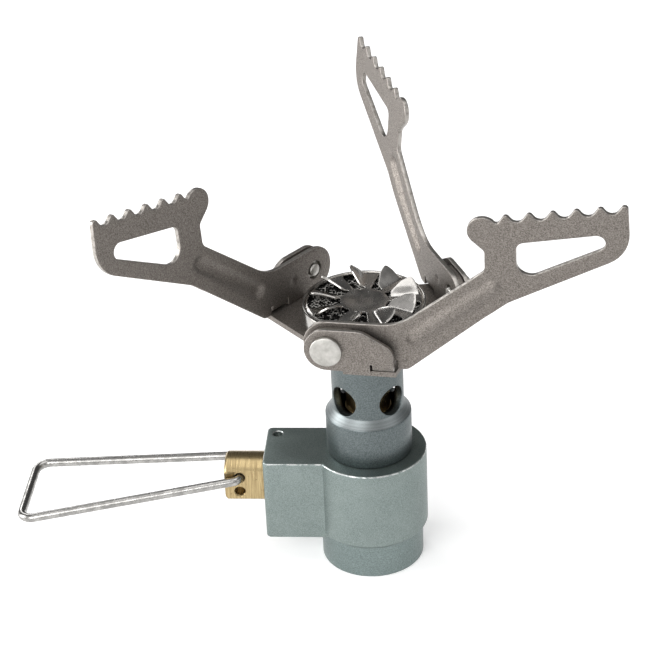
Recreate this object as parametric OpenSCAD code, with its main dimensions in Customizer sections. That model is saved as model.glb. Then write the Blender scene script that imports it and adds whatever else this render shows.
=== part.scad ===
// Folding canister-top camping stove.
// Origin: centre of the threaded collar's bottom face. +Z is up the burner column, -X points along
// the regulating valve towards its wire handle. Millimetres.

/* [Canister collar] */
// Outer diameter of the threaded collar at the bottom
collar_d = 17.4; // [16.5:0.1:18.5]
// Height of the threaded collar
collar_h = 6.0; // [5:0.1:7]
// Crest diameter of the internal canister thread
thread_d = 10.3; // [10.1:0.05:10.5]
// Length of the canister thread
thread_l = 6.9; // [6.5:0.1:7.2]
// Depth of the threaded hole, with its gasket groove
thread_depth = 9.0; // [8.8:0.1:9.5]

/* [Valve body] */
// Diameter of the round part of the valve body
body_d = 19.2; // [18.6:0.1:20]
// Height of the valve body above the collar
body_h = 15.0; // [14.5:0.1:16]
// Distance from the column axis to the outer face of the valve block
block_reach = 17.8; // [17:0.1:19]
// Width of the valve block
block_w = 11.6; // [11:0.1:12.4]
// Rounding of the upright block edges
block_round = 0.9; // [0.5:0.1:1.2]

/* [Mixing tube] */
// Diameter of the thick base of the mixing tube
tube_base_d = 14.4; // [14:0.1:15]
// Height of the thick base
tube_base_h = 7.4; // [7:0.1:8]
// Height of the cone between the base and the tube
tube_cone_h = 1.4; // [1:0.1:1.6]
// Outer diameter of the mixing tube
tube_d = 12.0; // [11.6:0.1:12.4]
// Diameter of an air hole
air_hole_d = 5.3; // [4.8:0.1:5.5]
// Number of air holes
air_holes = 4; // [3:1:4]
// Angle of the first air hole from +X
air_hole_az = 48; // [40:1:50]

/* [Valve stem] */
// Diameter of the stem's head
stem_head_d = 8.3; // [8.1:0.05:8.5]
// Width of the stem's head across its two flats
stem_flats = 6.2; // [6:0.05:6.4]
// Length of the head outside the block
stem_head_l = 6.9; // [6.5:0.1:7.2]
// Height of the stem axis above the collar's bottom face
stem_z = 15.0; // [14.6:0.1:15.2]

/* [Wire handle] */
// Diameter of the handle wire
wire_d = 1.5; // [1.4:0.05:1.6]
// Length of the wire loop from its pivot
handle_l = 37.6; // [34:0.2:40]
// Width of the loop's far end between wire centres
handle_w = 17.4; // [16:0.2:18]
// Angle the loop hangs below level
handle_droop = 7.6; // [0:0.2:10]

/* [Burner head] */
// Outer diameter of the burner cup
burner_d = 20.4; // [20:0.1:21]
// Height of the cup's wall
burner_wall_h = 4; // [3.2:0.05:4.2]
// Number of flame openings and raised flaps
flaps = 9; // [8:1:10]
// Angle of the first flame opening from +X
flap_az = 24; // [0:1:39]
// Angle a flap is bent up from the cap
flap_rise = 52; // [45:1:60]

/* [Pot supports] */
// Heading of the first support arm from +X
arm_az = -7; // [-9:1:-5]
// Distance from the column axis to an arm's inner face
arm_offset = 13.5; // [13.4:0.05:15.4]
// Thickness of the arm sheet
arm_t = 0.8; // [0.7:0.05:0.9]
// Clearance between the sheets of a hinge
sheet_gap = 0.12; // [0.1:0.01:0.15]
// Thickness of the bracket sheet
bracket_t = 0.9; // [0.8:0.05:1]
// Distance from one tooth to the next
tooth_pitch = 3.5; // [3.45:0.01:3.55]
// Angle the arm above its root leans outwards
flare = 5; // [0:1:6]
// Diameter of the pivot rivets
rivet_d = 3.1; // [2.9:0.05:3.3]

/* [Hidden] */
$fn = 96;

eps = 0.01;               // overlap of two cutters that meet
run_fit = 0.05;           // radial clearance of a turning fit
aluminium = "#7f8f8f";
titanium = "#77706a";
steel = "#b8b5b0";
brass = "#cdb47d";
rubber = "#202020";

// Heights up the column
body_z = collar_h;
body_top = body_z + body_h;
cone_z = body_top + tube_base_h;
tube_z = cone_z + tube_cone_h;
air_z = tube_z + air_hole_d / 2;
pivot_z = 49.0;                                 // height of the arm pivots
web_drop = 3.7;                                 // from a pivot down to the bottom of its arm's web
bracket_top = pivot_z - web_drop - 0.05;
bracket_z = bracket_top - bracket_t;
cap_z = bracket_top + burner_wall_h;

// Arms, in a frame with +X along the arm and -Y outwards, measured from the pivot
pivot_x = -3.25;                                // the pivot's place along the arm's heading
arm_angles = [arm_az, arm_az + 120, arm_az + 240];
root_r = 4.0;                                   // round end of the main sheet
ear_r = 3.6;                                    // round end of the outer ear
tab_y = arm_offset + arm_t + sheet_gap;         // inner face of the bracket's tab
ear_y = tab_y + bracket_t + sheet_gap;          // inner face of the outer ear
ear_out = ear_y + arm_t;
web_x = [7.2, 10.8];                            // where the web joins the ear to the main sheet
tab_x = [2.5, 6.4];                             // where the tab stands on the bracket plate
first_tooth = [28.0, 25.33];
tooth_rise = 0.54;                              // how much each tooth stands above the one before
tooth_depth = 2.35;                             // measured between the unrounded corners
nub = [24.6, 22.1];
nub_r = 2.4;
rib = [[13.8, 2.1], [26.0, 12.1]];
rib_w = 2.4;
rib_h = 0.45;
detent = [5.2, 0.2];
flare_z = 7.0;                                  // where the arm's lean starts
detent_r = 0.75;

// Valve stem, along -X
pin_at = [-15.9, 3.7];                          // retaining pin beside the stem
pin_d = 1.6;
stem_r = 4.0;                                   // barrel of the stem inside the block
stem_bore_r = stem_r + run_fit;
screw_r = 2.2;
seat_x = -1.8;                                  // valve seat, where the needle closes
screw_x = -9.5;                                 // end of the wide bore
hole_x = -(block_reach + stem_head_l - 2.55);   // cross holes for the handle
hole_dz = 1.38;                                 // each hole's height above or below the stem axis
handle_pivot = [hole_x, 0, stem_z + hole_dz];
groove_x = [-16.8, -13.9];                      // groove that the retaining pin runs in
seal_x = -11.6;
seal_r = 0.5;
seal_ring_r = 3.5;

// A polygon's outline with each corner [x, y, r] rounded to its radius r
function unit(v) = v / norm(v);
function corner(p, a, b) =
    let (d1 = unit([a[0] - p[0], a[1] - p[1]]), d2 = unit([b[0] - p[0], b[1] - p[1]]),
         half = acos(d1 * d2) / 2,
         centre = [p[0], p[1]] + unit(d1 + d2) * p[2] / sin(half),
         start = [p[0], p[1]] + d1 * p[2] / tan(half) - centre,
         sweep = (180 - 2 * half) * sign(d2[0] * d1[1] - d2[1] * d1[0]))
    [centre, atan2(start[1], start[0]), sweep];
function arc_points(c, r) =
    let (steps = max(2, ceil(abs(c[2]) / 15)))
    [for (i = [0 : steps]) c[0] + r * [cos(c[1] + c[2] * i / steps), sin(c[1] + c[2] * i / steps)]];
function rounded(pts) =
    let (n = len(pts))
    [for (i = [0 : n - 1])
        each (pts[i][2] > 0
            ? arc_points(corner(pts[i], pts[(i + n - 1) % n], pts[(i + 1) % n]), pts[i][2])
            : [[pts[i][0], pts[i][1]]])];

module ring(r_out, r_in, h) {
    difference() {
        cylinder(r = r_out, h = h);
        translate([0, 0, -eps]) cylinder(r = r_in, h = h + 2 * eps);
    }
}

module torus(r, tube_r) {
    rotate_extrude() translate([r, 0]) circle(r = tube_r, $fn = 48);
}

// Along -X from x = from to x = to, on the stem's axis
module stem_bar(from, to, r1, r2) {
    translate([from, 0, stem_z]) rotate([0, -90, 0]) cylinder(r1 = r1, r2 = r2, h = from - to);
}

// ---- Valve ----

block_plan = [[0, -block_w / 2, 0], [0, block_w / 2, 0],
              [-block_reach, block_w / 2, block_round], [-block_reach, -block_w / 2, block_round]];
edge_cut = 0.8;                                 // bevel around the bottom of the round body
jet_bore_r = 2.6;
jet_seat_z = body_top - 4;
filter_r = 3.4;
filter_h = 1.2;
inlet_x = -2.9;
passage_r = 0.7;

module valve_body() {
    color(aluminium) difference() {
        union() {
            cylinder(d = collar_d, h = collar_h + eps);
            translate([0, 0, body_z]) cylinder(d1 = body_d - 2 * edge_cut, d2 = body_d, h = edge_cut);
            translate([0, 0, body_z + edge_cut]) cylinder(d = body_d, h = body_h - edge_cut);
            translate([0, 0, body_z]) linear_extrude(body_h) polygon(rounded(block_plan));
        }
        // canister thread, at its crest diameter
        translate([0, 0, -1]) cylinder(d = thread_d, h = thread_depth + 1);
        translate([0, 0, thread_l]) cylinder(r = gasket_groove_r, h = thread_depth - thread_l);
        // filter recess, depressor pin hole and gas inlet
        translate([0, 0, thread_depth - eps]) cylinder(r = filter_r, h = filter_h + eps);
        translate([0, 0, thread_depth]) cylinder(r = depressor_r, h = depressor_seat);
        translate([inlet_x, 0, thread_depth]) cylinder(r = passage_r, h = stem_z - thread_depth);
        // stem bore, screw bore, seat and the way up to the jet
        stem_bar(screw_x, -block_reach - 1, stem_bore_r, stem_bore_r);
        stem_bar(seat_x, screw_x - eps, screw_r + run_fit, screw_r + run_fit);
        stem_bar(0, seat_x - eps, passage_r, passage_r);
        translate([0, 0, stem_z]) cylinder(r = passage_r, h = body_h);
        translate([0, 0, jet_seat_z]) cylinder(r = jet_bore_r, h = body_h);
        // retaining pin hole, drilled down past the stem
        translate([pin_at[0], pin_at[1], stem_z - stem_r]) cylinder(d = pin_d, h = body_h);
    }
}

gasket_r = 0.8;
gasket_groove_r = 5.6;

module canister_gasket() {
    color(rubber) translate([0, 0, thread_depth - gasket_r])
        torus(gasket_groove_r - gasket_r - run_fit, gasket_r);
}

depressor_r = 0.9;
depressor_seat = 3.0;                           // length pressed into the valve body
depressor_l = 2.0;                              // length standing above the thread

module depressor_pin() {
    tip = 0.4;
    color(brass) translate([0, 0, thread_depth - depressor_l]) {
        cylinder(r1 = depressor_r - tip, r2 = depressor_r, h = tip);
        translate([0, 0, tip]) cylinder(r = depressor_r, h = depressor_l + depressor_seat - tip);
    }
}

module inlet_filter() {
    sheet = 0.6;
    color(steel) translate([0, 0, thread_depth + 0.1]) ring(filter_r, depressor_r, sheet);
}

stem_cross_r = wire_d / 2 + 0.1;
mouth_r = 1.05;                                 // cone at the mouth of each cross hole

module valve_stem() {
    head_end = -block_reach - stem_head_l;
    bevel = 0.35;
    groove_r = 2.85;
    seal_groove_w = 1.3;
    needle_x = -5.2;
    color(brass) difference() {
        union() {
            intersection() {
                union() {
                    stem_bar(-block_reach - 0.05, head_end + bevel, stem_head_d / 2, stem_head_d / 2);
                    stem_bar(head_end + bevel, head_end, stem_head_d / 2, stem_head_d / 2 - bevel);
                }
                translate([head_end - 1, -stem_flats / 2, 0])
                    cube([stem_head_l + 2, stem_flats, stem_z * 2]);
            }
            stem_bar(screw_x - 0.1, -block_reach - 0.05, stem_r, stem_r);
            stem_bar(needle_x, screw_x - 0.1, screw_r, screw_r);
            stem_bar(seat_x - 0.4, needle_x, 0.4, screw_r - 0.8);
        }
        // groove for the retaining pin and groove for the seal
        for (g = [[groove_x[1], groove_x[0], groove_r],
                  [seal_x + seal_groove_w / 2, seal_x - seal_groove_w / 2, seal_ring_r - seal_r]])
            difference() {
                stem_bar(g[0], g[1], stem_r + 1, stem_r + 1);
                stem_bar(g[0] + 1, g[1] - 1, g[2], g[2]);
            }
        // two cross holes, one above the other
        for (side = [-1, 1])
            translate([hole_x, 0, stem_z + side * hole_dz]) rotate([90, 0, 0]) {
                cylinder(r = stem_cross_r, h = stem_head_d, center = true);
                for (end = [0, 180]) rotate([end, 0, 0]) translate([0, 0, stem_flats / 2 - 0.2])
                    cylinder(r1 = stem_cross_r, r2 = mouth_r, h = 0.2 + eps);
            }
    }
}

module stem_seal() {
    color(rubber) translate([seal_x, 0, stem_z]) rotate([0, 90, 0]) torus(seal_ring_r, seal_r);
}

module retaining_pin() {
    recess = 0.9;                               // how far its end lies below the block's top
    color(steel) translate([pin_at[0], pin_at[1], stem_z - stem_r])
        cylinder(d = pin_d, h = body_top - recess - stem_z + stem_r);
}

// ---- Jet and mixing tube ----

tube_bore_r = 4.6;
throat_r = 3.4;
throat_z = air_z + air_hole_d / 2 + 2;
spigot_r = 4.5;
spigot_top = bracket_top + 1.4;

module jet() {
    collar_r = 3.9;
    collar_top = tube_z - 0.3;
    hex_af = 6.4;
    hex_h = 2.4;
    tip_h = 1.1;
    color(brass) difference() {
        union() {
            translate([0, 0, jet_seat_z + 0.5]) cylinder(r = jet_bore_r, h = 4);
            translate([0, 0, body_top + 0.5]) cylinder(r = collar_r, h = collar_top - body_top - 0.5);
            translate([0, 0, collar_top]) cylinder(r = hex_af / 2 / cos(30), h = hex_h, $fn = 6);
            translate([0, 0, collar_top + hex_h]) cylinder(r1 = hex_af / 2 - 0.2, r2 = 1.2, h = tip_h);
        }
        translate([0, 0, jet_seat_z]) cylinder(r = 1.2, h = collar_top + hex_h - jet_seat_z);
        translate([0, 0, jet_seat_z]) cylinder(r = 0.2, h = 20);
    }
}

module jet_washer() {
    color(brass) translate([0, 0, body_top]) ring(3.9, jet_bore_r, 0.5);
}

module mixing_tube() {
    base_round = 0.3;
    color(aluminium) difference() {
        union() {
            translate([0, 0, body_top])
                cylinder(d1 = tube_base_d - 2 * base_round, d2 = tube_base_d, h = base_round);
            translate([0, 0, body_top + base_round])
                cylinder(d = tube_base_d, h = tube_base_h - base_round);
            translate([0, 0, cone_z]) cylinder(d1 = tube_base_d, d2 = tube_d, h = tube_cone_h);
            translate([0, 0, tube_z]) cylinder(d = tube_d, h = bracket_z - tube_z);
            translate([0, 0, bracket_z]) cylinder(r = spigot_r, h = spigot_top - bracket_z);
        }
        translate([0, 0, body_top - 1]) cylinder(r = tube_bore_r, h = throat_z - body_top + 1);
        translate([0, 0, throat_z - eps])
            cylinder(r1 = tube_bore_r, r2 = throat_r, h = tube_bore_r - throat_r);
        translate([0, 0, throat_z]) cylinder(r = throat_r, h = 20);
        for (i = [0 : air_holes - 1])
            rotate([0, 0, air_hole_az + i * 360 / air_holes]) translate([0, 0, air_z])
                rotate([0, 90, 0]) cylinder(d = air_hole_d, h = tube_d);
    }
}

// ---- Burner ----

cup_t = 0.45;
cap_t = 0.5;
hub_r = 3.7;                                    // plain centre of the cap
opening_r = [4.0, 9.3];                         // flame openings, from inner to outer radius
opening_half = 13.5;                            // half the angle of an opening
cup_r = burner_d / 2;

module burner_cup() {
    color(steel) translate([0, 0, bracket_top]) difference() {
        union() {
            cylinder(r = cup_r - 0.5, h = cup_t);
            translate([0, 0, cup_t - eps]) cylinder(r1 = cup_r - 0.5, r2 = cup_r, h = 0.5);
            translate([0, 0, cup_t + 0.49]) cylinder(r = cup_r, h = burner_wall_h - cup_t - 0.49);
        }
        translate([0, 0, cup_t]) cylinder(r1 = cup_r - 1, r2 = cup_r - cup_t, h = 0.6);
        translate([0, 0, cup_t + 0.59]) cylinder(r = cup_r - cup_t, h = burner_wall_h);
        translate([0, 0, -1]) cylinder(r = spigot_r, h = 3);
    }
}

// One flame opening's outline, centred on +X
function opening_outline() =
    let (a = opening_half, inner = opening_r[0], outer = opening_r[1])
    rounded([[inner * cos(a), -inner * sin(a), 0.4], [outer * cos(a), -outer * sin(a), 0.7],
             [outer, 0, 4], [outer * cos(a), outer * sin(a), 0.7],
             [inner * cos(a), inner * sin(a), 0.4]]);

// The flap that was cut from an opening, lying along +X and bent up about its straight side
flap_outline = rounded([[opening_r[0], 0, 0], [opening_r[1], 0, 0],
                        [opening_r[1] - 0.3, 4.1, 0.8], [opening_r[1] - 2.4, 3.5, 1.2],
                        [opening_r[0] + 0.4, 1.6, 0.5]]);

module flap() {
    flap_t = 0.3;
    rotate([flap_rise, 0, 0]) linear_extrude(flap_t) polygon(flap_outline);
}

module burner_cap() {
    color(steel) translate([0, 0, cap_z]) {
        translate([0, 0, -cap_t]) difference() {
            cylinder(r = cup_r - cup_t, h = cap_t);
            for (i = [0 : flaps - 1]) rotate([0, 0, flap_az + i * 360 / flaps])
                translate([0, 0, -1]) linear_extrude(cap_t + 2) polygon(opening_outline());
            translate([0, 0, cap_t - 0.15]) cylinder(r = hub_r - 0.3, h = 1);
        }
        for (i = [0 : flaps - 1])
            rotate([0, 0, flap_az + i * 360 / flaps - opening_half - 1.5])
                translate([0, 0, -0.3]) flap();
    }
}

module flame_strip() {
    strip_h = 1.6;
    ribs = 36;
    strip_r = cup_r - cup_t - 0.1;
    color(rubber) translate([0, 0, cap_z - cap_t - strip_h - 0.05]) difference() {
        ring(strip_r, 3.9, strip_h);
        for (i = [0 : ribs - 1]) rotate([0, 0, i * 360 / ribs])
            translate([opening_r[0] + 0.6, -0.15, strip_h - 0.5]) cube([4.6, 0.3, 1]);
    }
}

// ---- Pot supports ----

// Moves a shape drawn for heading +X to arm i
module at_arm(i) {
    rotate([0, 0, arm_angles[i]]) translate([pivot_x, 0, pivot_z]) children();
}

// Stands an outline drawn in X and Z up, with its inner face at distance y from the column axis
module sheet(y, t) {
    translate([0, -y, 0]) rotate([90, 0, 0]) linear_extrude(t) children();
}

function tooth(i) = first_tooth + i * [tooth_pitch, tooth_rise];
tooth_count = 6;
tooth_r = 0.5;
valley_r = 1.15;
valley_at = [0.52 * tooth_pitch, tooth_rise / 2 - tooth_depth];
end_tooth = [46.0, 28.8, 0.55];                  // the tooth at the arm's end, a taller one
teeth_outline = [for (i = [tooth_count - 1 : -1 : 0]) each concat(
    [i == tooth_count - 1 ? end_tooth : [tooth(i)[0], tooth(i)[1], tooth_r]],
    i == 0 ? [] : [[tooth(i - 1)[0] + valley_at[0], tooth(i - 1)[1] + valley_at[1], valley_r]])];
nub_sides = [[26.69, 23.29, 0.5], [26.1, 23.9, 0], [24.8, 22.6, 0], [23.0, 20.5, 0], [24.8, 18.6, 1]];

main_outline = concat(
    [[0, -web_drop, 0], [12.2, -web_drop, 1.5], [28.3, 9.5, 6], [46.6, 19.35, 5.5]],
    teeth_outline, nub_sides,
    [[24.8, 15.0, 1.5], [11.2, root_r, 8], [0, root_r, 0]]);

window_outline = [[29.6, 13.36, 2.2], [29.6, 20.25, 1.3], [50.1, 23.94, 1.34]];

ear_outline = [[0, -web_drop, 0], [10.7, -web_drop, 0.3], [10.6, 0.6, 2.2], [5.6, ear_r, 3.5],
               [0, ear_r, 0]];

// The U-bend along the bottom that joins the ear to the main sheet
module web() {
    bend_r = (ear_out - arm_offset) / 2;
    translate([web_x[0], -(arm_offset + ear_out) / 2, bend_r - web_drop]) rotate([0, 90, 0])
        difference() {
            cylinder(r = bend_r, h = web_x[1] - web_x[0]);
            translate([0, 0, -1]) cylinder(r = bend_r - arm_t, h = 10);
            translate([-bend_r * 2, -bend_r * 2, -1]) cube([bend_r * 2, bend_r * 4, 10]);
        }
}

module rib_plan(w) {
    along = rib[1] - rib[0];
    translate(rib[0]) rotate(atan2(along[1], along[0])) {
        circle(d = w);
        translate([0, -w / 2]) square([norm(along), w]);
        translate([norm(along), 0]) circle(d = w);
    }
}

// Leans a shape outwards about the line where the arm's lean starts, on its inner face
module leaned() {
    translate([0, -arm_offset, flare_z]) rotate([flare, 0, 0]) translate([0, arm_offset, -flare_z]) children();
}

// Leans only what is above that line
module flared() {
    intersection() {
        children();
        translate([-10, -arm_offset - 5, -10]) cube([70, 10, 10 + flare_z]);
    }
    leaned() intersection() {
        children();
        translate([-10, -arm_offset - 5, flare_z]) cube([70, 10, 40]);
    }
}

module support_arm(i) {
    web_top = (ear_out - arm_offset) / 2 - web_drop;
    color(titanium) at_arm(i) difference() {
        union() {
            flared() sheet(arm_offset, arm_t) difference() {
                union() {
                    polygon(rounded(main_outline));
                    circle(r = root_r);
                    translate(nub) circle(r = nub_r);
                }
                polygon(rounded(window_outline));
                translate([web_x[0], -web_drop - 1]) square([web_x[1] - web_x[0], web_top + web_drop + 1]);
            }
            leaned() sheet(arm_offset + arm_t, rib_h) rib_plan(rib_w);
            sheet(ear_y, arm_t) difference() {
                union() {
                    polygon(rounded(ear_outline));
                    circle(r = ear_r);
                }
                translate([web_x[0], -web_drop - 1]) square([web_x[1] - web_x[0], web_top + web_drop + 1]);
            }
            web();
        }
        // the rib's hollow back, the pivot hole and the detent dimple
        leaned() sheet(arm_offset - 1, 1 + rib_h) rib_plan(rib_w - 0.9);
        translate([0, -arm_offset + 1, 0]) rotate([90, 0, 0])
            cylinder(d = rivet_d + 2 * run_fit, h = ear_out - arm_offset + 2);
        translate([detent[0], -arm_offset + 0.75, detent[1]]) sphere(r = 1.1);
    }
}

module pivot_rivet(i) {
    head_r = 2.55;
    head_t = 0.75;
    head_edge = 0.2;
    dome_r = 1.2;
    step = 0.3;                                 // the shank ends this far inside the arm's inner face
    shank_l = ear_out + 0.06 - arm_offset - step;
    color(steel) at_arm(i) translate([0, -arm_offset - step, 0]) rotate([90, 0, 0]) {
        cylinder(d = rivet_d, h = shank_l);
        translate([0, 0, shank_l]) cylinder(r = head_r, h = head_t - head_edge);
        translate([0, 0, shank_l + head_t - head_edge])
            cylinder(r1 = head_r, r2 = head_r - head_edge, h = head_edge);
        translate([0, 0, -step - 0.3]) cylinder(r = dome_r, h = step + 0.3 + eps);
        translate([0, 0, -step - 0.5]) cylinder(r1 = dome_r - 0.4, r2 = dome_r, h = 0.2);
    }
}

tab_outline = [[tab_x[0], -web_drop - 0.5, 0], [tab_x[1], -web_drop - 0.5, 0], [tab_x[1], 1.4, 1.5],
               [3.6, 3.3, 1.5], [0, 3.3, 0], [-2.2, -1.8, 0.5], [tab_x[0], -2.6, 0.8]];

// The plate's corner at one arm: the tab's root, then the stop under the arm's web
function turned(p, a) = [p[0] * cos(a) - p[1] * sin(a), p[0] * sin(a) + p[1] * cos(a)];
plate_x = pivot_x + tab_x[0] - 0.15;             // the plate stands out a little past the tabs
stop_y = tab_y + bracket_t + 0.05;
plate_corner = [[plate_x, -(arm_offset - 0.2)], [plate_x, -stop_y],
                [pivot_x + web_x[1], -stop_y]];

module bracket() {
    tab_r = 3.3;
    color(titanium) {
        difference() {
            union() {
                translate([0, 0, bracket_z]) linear_extrude(bracket_t)
                    polygon([for (a = arm_angles) each [for (p = plate_corner) turned(p, a)]]);
                for (i = [0 : 2]) at_arm(i) sheet(tab_y, bracket_t) {
                    polygon(rounded(tab_outline));
                    circle(r = tab_r);
                }
            }
            translate([0, 0, bracket_z - 1]) cylinder(r = spigot_r, h = 3);
            for (i = [0 : 2]) at_arm(i) {
                translate([0, -tab_y + 1, 0]) rotate([90, 0, 0]) cylinder(d = rivet_d, h = 4);
                translate([detent[0], -tab_y + 1, detent[1]]) rotate([90, 0, 0])
                    cylinder(r = detent_r, h = 4);
            }
        }
    }
}

// ---- Handle ----

// One bend of the wire, from corner() data, and one straight run
module wire_bend(c, r) {
    translate([c[0][0], c[0][1], 0]) rotate([0, 0, min(c[1], c[1] + c[2])])
        rotate_extrude(angle = abs(c[2])) translate([r, 0]) circle(d = wire_d, $fn = 48);
}

module wire_run(a, b) {
    d = b - a;
    // each end reaches a little way into its bend
    translate([a[0], a[1], 0]) rotate([0, 0, atan2(d[1], d[0])]) rotate([0, 90, 0])
        translate([0, 0, -2 * eps]) cylinder(d = wire_d - eps, h = norm(d) + 4 * eps, $fn = 48);
}

near_y = stem_flats / 2 + wire_d / 2 + 0.1;     // the wire runs just clear of the stem's flats
stub_y = 0.8;                                   // where each end stops inside its cross hole
wire_path = [[0, -stub_y, 0], [0, -near_y, 1.1], [-handle_l, -handle_w / 2, 2.2],
             [-handle_l, handle_w / 2, 2.2], [0, near_y, 1.1], [0, stub_y, 0]];

module wire_handle() {
    bends = [for (i = [1 : 4]) corner(wire_path[i], wire_path[i - 1], wire_path[i + 1])];
    function end_of(k) = bends[k][0] + wire_path[k + 1][2]
        * [cos(bends[k][1] + bends[k][2]), sin(bends[k][1] + bends[k][2])];
    function start_of(k) = bends[k][0] + wire_path[k + 1][2] * [cos(bends[k][1]), sin(bends[k][1])];
    color(steel) translate(handle_pivot) rotate([0, -handle_droop, 0]) {
        for (k = [0 : 3]) wire_bend(bends[k], wire_path[k + 1][2]);
        wire_run([0, -stub_y], start_of(0));
        for (k = [0 : 2]) wire_run(end_of(k), start_of(k + 1));
        wire_run(end_of(3), [0, stub_y]);
    }
}

valve_body();
canister_gasket();
depressor_pin();
inlet_filter();
valve_stem();
stem_seal();
retaining_pin();
jet();
jet_washer();
mixing_tube();
bracket();
burner_cup();
burner_cap();
flame_strip();
support_arm(0);  // arm_right
support_arm(1);  // arm_back
support_arm(2);  // arm_left
pivot_rivet(0);  // pivot_rivet_right
pivot_rivet(1);  // pivot_rivet_back
pivot_rivet(2);  // pivot_rivet_left
wire_handle();
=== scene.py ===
"""Looks of the folding canister-top camping stove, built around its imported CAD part.

Shapes are worked out in millimetres, in the part's own frame, and made in metres.
"""
import math

import bmesh
import bpy
import numpy as np
from mathutils import Matrix, Vector, geometry


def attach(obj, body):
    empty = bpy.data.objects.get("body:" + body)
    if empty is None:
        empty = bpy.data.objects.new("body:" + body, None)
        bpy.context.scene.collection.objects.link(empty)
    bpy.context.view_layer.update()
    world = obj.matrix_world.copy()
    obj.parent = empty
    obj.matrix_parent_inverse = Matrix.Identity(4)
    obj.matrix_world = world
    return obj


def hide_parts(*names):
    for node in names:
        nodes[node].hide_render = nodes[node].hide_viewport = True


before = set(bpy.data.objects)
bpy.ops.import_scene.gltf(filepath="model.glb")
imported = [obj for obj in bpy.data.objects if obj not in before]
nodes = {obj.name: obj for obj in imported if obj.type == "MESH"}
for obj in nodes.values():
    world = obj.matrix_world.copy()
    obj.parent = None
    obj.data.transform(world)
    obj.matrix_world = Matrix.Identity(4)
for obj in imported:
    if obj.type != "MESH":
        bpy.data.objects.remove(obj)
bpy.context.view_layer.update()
MM = 0.001                          # a millimetre, in metres


# ---------------------------------------------------------------- outlines

SHARPEST = 0.55                     # the least cosine used at a corner, so that no corner runs far out
ROW = 0.87                          # height of a row of even triangles, over their side
CLEAR = 0.55                        # least distance of an inner point from the outline, over the step


def rounded(corners, degrees=10.0, count=None):
    """A closed outline from corners (x, y, radius), each rounded in count steps, or one every few degrees."""
    points = []
    n = len(corners)
    for i, (x, y, r) in enumerate(corners):
        p = np.array([x, y])
        if r <= 0:
            points.append(p)
            continue
        a = np.array(corners[i - 1][:2]) - p
        b = np.array(corners[(i + 1) % n][:2]) - p
        a, b = a / np.linalg.norm(a), b / np.linalg.norm(b)
        half = math.acos(max(-1.0, min(1.0, float(a @ b)))) / 2
        centre = p + (a + b) / np.linalg.norm(a + b) * r / math.sin(half)
        start = p + a * r / math.tan(half) - centre
        sweep = (math.pi - 2 * half) * (1 if b[0] * a[1] - b[1] * a[0] > 0 else -1)
        steps = count or max(2, math.ceil(abs(math.degrees(sweep)) / degrees))
        first = math.atan2(start[1], start[0])
        for k in range(steps + 1):
            t = first + sweep * k / steps
            points.append(centre + r * np.array([math.cos(t), math.sin(t)]))
    return np.array(points)


def arc(centre, r, from_deg, to_deg, step=8.0):
    """Corners of zero radius along an arc."""
    steps = max(2, math.ceil(abs(to_deg - from_deg) / step))
    turns = [math.radians(from_deg + (to_deg - from_deg) * k / steps) for k in range(steps + 1)]
    return [(centre[0] + r * math.cos(t), centre[1] + r * math.sin(t), 0) for t in turns]


def circle(centre, r, count=48):
    """A closed outline round a centre."""
    t = np.arange(count) * 2 * math.pi / count
    return np.stack([centre[0] + r * np.cos(t), centre[1] + r * np.sin(t)], 1)


def divided(loop, longest):
    """The outline with its long edges cut into pieces."""
    points = []
    for a, b in zip(loop, np.roll(loop, -1, 0)):
        steps = max(1, math.ceil(float(np.linalg.norm(b - a)) / longest))
        points += [a + (b - a) * k / steps for k in range(steps)]
    return np.array(points)


def area(loop):
    """The outline's area, below zero where it runs clockwise."""
    x, y = loop[:, 0], loop[:, 1]
    return float(np.sum(x * np.roll(y, -1) - np.roll(x, -1) * y) / 2)


def inside(points, loops):
    """Which points are inside the outline and outside its holes."""
    found = np.zeros(len(points), bool)
    for loop in loops:
        a, b = loop, np.roll(loop, -1, 0)
        for (x1, y1), (x2, y2) in zip(a, b):
            if y1 == y2:
                continue
            hit = (points[:, 1] > min(y1, y2)) & (points[:, 1] <= max(y1, y2))
            x = x1 + (points[:, 1] - y1) * (x2 - x1) / (y2 - y1)
            found ^= hit & (points[:, 0] < x)
    return found


def inset(loop, d):
    """The outline moved by d towards its left-hand side."""
    before, after = loop - np.roll(loop, 1, 0), np.roll(loop, -1, 0) - loop
    before /= np.linalg.norm(before, axis=1)[:, None]
    after /= np.linalg.norm(after, axis=1)[:, None]
    n1 = np.stack([-before[:, 1], before[:, 0]], 1)
    n2 = np.stack([-after[:, 1], after[:, 0]], 1)
    n = n1 + n2
    n /= np.maximum(np.linalg.norm(n, axis=1), 1e-6)[:, None]
    miter = 1 / np.clip((n * n1).sum(1), SHARPEST, 1)
    return loop + n * (d * miter)[:, None]


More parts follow.
